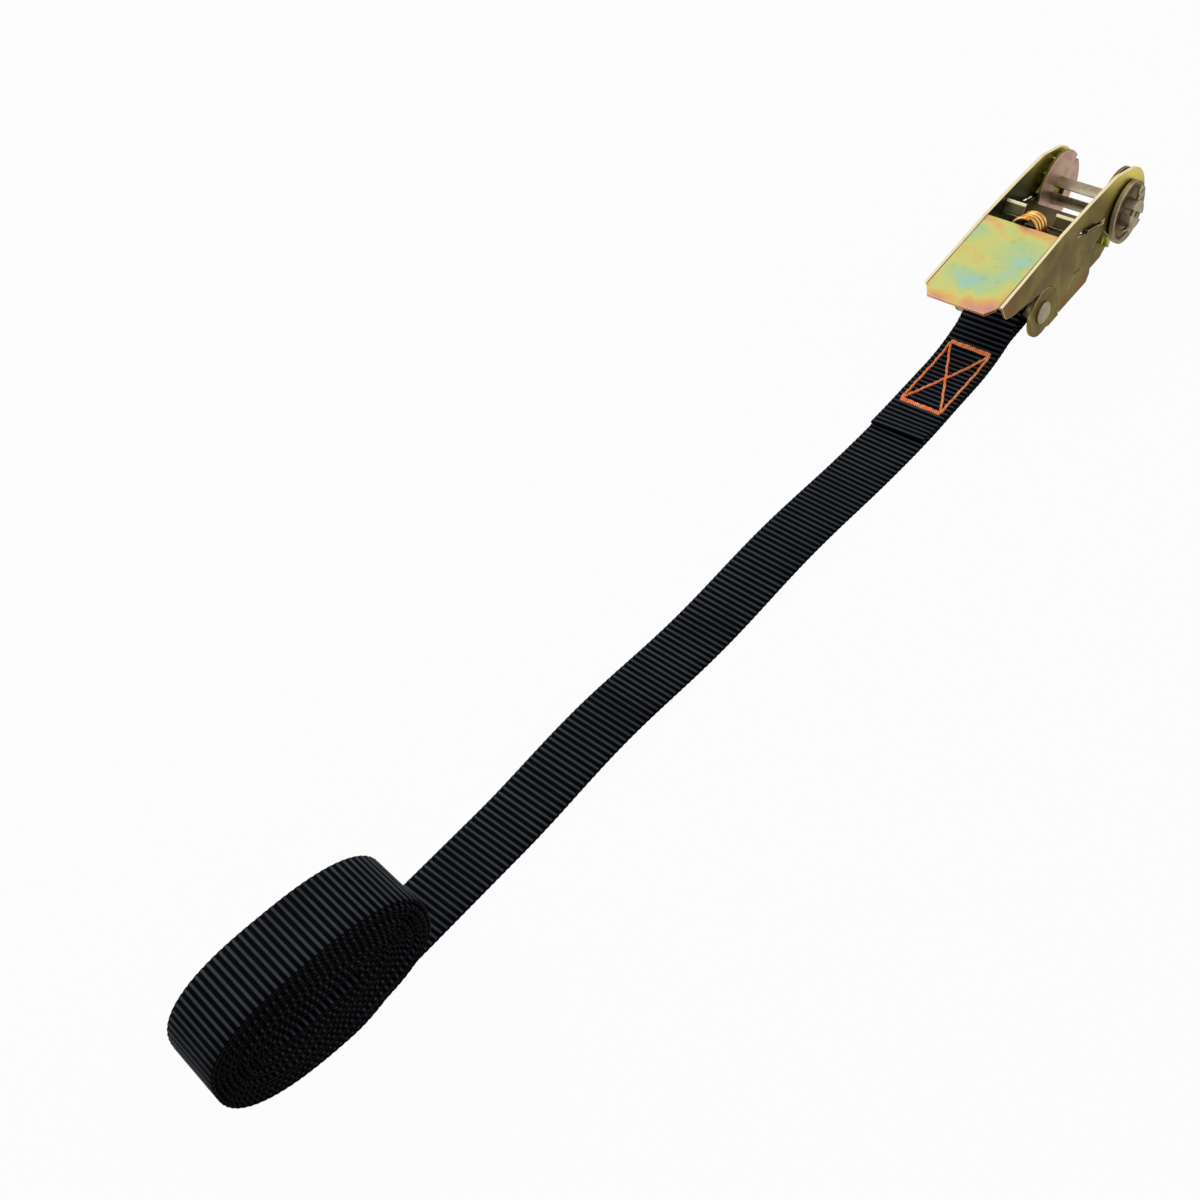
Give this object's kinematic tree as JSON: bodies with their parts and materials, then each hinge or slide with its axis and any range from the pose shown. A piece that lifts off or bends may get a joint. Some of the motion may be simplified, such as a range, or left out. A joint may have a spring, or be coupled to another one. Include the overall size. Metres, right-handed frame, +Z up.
{
  "type": "ratchet tie down",
  "caption": "Ratchet tie down for webbing: a sprung lever buckle with a slotted take-up spool, a sewn tail, and its loose strap rolled up behind.",
  "frame": {"origin": "middle of the flat underside of the buckle's floor, on the middle plane, halfway between the tail rivet and the spool", "axes": "+X across the buckle, +Y along it towards the spool, -Y along the strap, +Z up from the ground"},
  "size_m": [0.0536, 0.537, 0.052],
  "materials": {
    "frame_zinc": "yellow zinc plate, iridescent",
    "handle_zinc": "yellow zinc plate, iridescent",
    "pawl_zinc": "yellow zinc plate, iridescent",
    "wheel_zinc": "yellow zinc plate, iridescent",
    "cap_zinc": "yellow zinc plate, satin",
    "pin_zinc": "clear zinc plate, satin",
    "spring_wire": "yellow zinc plated wire",
    "webbing": "black ribbed polyester webbing"
  },
  "bodies": {
    "frame_body": {"frame": "frame_zinc", "tail_rivet": "pin_zinc", "tail_sleeve": "pin_zinc", "lock_spring_left": "spring_wire", "lock_spring_right": "spring_wire", "strap_eye": "webbing", "strap_sewn": "webbing", "strap_run": "webbing", "strap_roll": "webbing"},
    "handle_body": {"handle": "handle_zinc", "drive_spring": "spring_wire"},
    "drive_pawl_body": {"drive_pawl": "pawl_zinc"},
    "lock_pawl_body": {"lock_pawl": "pawl_zinc"},
    "spool": {"half_pin_upper": "pin_zinc", "half_pin_lower": "pin_zinc", "ratchet_wheel_left": "wheel_zinc", "ratchet_wheel_right": "wheel_zinc", "hub_washer_left": "pin_zinc", "hub_washer_right": "pin_zinc", "end_cap_left": "cap_zinc", "end_cap_right": "cap_zinc", "split_pin_left": "pin_zinc", "split_pin_right": "pin_zinc"}
  },
  "joints": [
    {"name": "handle_swing", "type": "hinge", "parent": "frame_body", "child": "handle_body", "pos_m": [0, 0.03375, 0.019], "axis": [-1, 0, 0], "range_deg": [0, 150]},
    {"name": "spool_turn", "type": "hinge", "parent": "frame_body", "child": "spool", "pos_m": [0, 0.03375, 0.019], "axis": [-1, 0, 0], "continuous": true},
    {"name": "drive_pawl_slide", "type": "slide", "parent": "handle_body", "child": "drive_pawl_body", "axis": [0, -0.9455, 0.3256], "range_m": [-0.0036, 0.005], "stiffness_N_per_m": 600, "deforming": ["drive_spring"]},
    {"name": "lock_pawl_slide", "type": "slide", "parent": "frame_body", "child": "lock_pawl_body", "axis": [0, -0.9816, -0.1908], "range_m": [0, 0.005], "stiffness_N_per_m": 400, "deforming": ["lock_spring_left", "lock_spring_right"]}
  ]
}
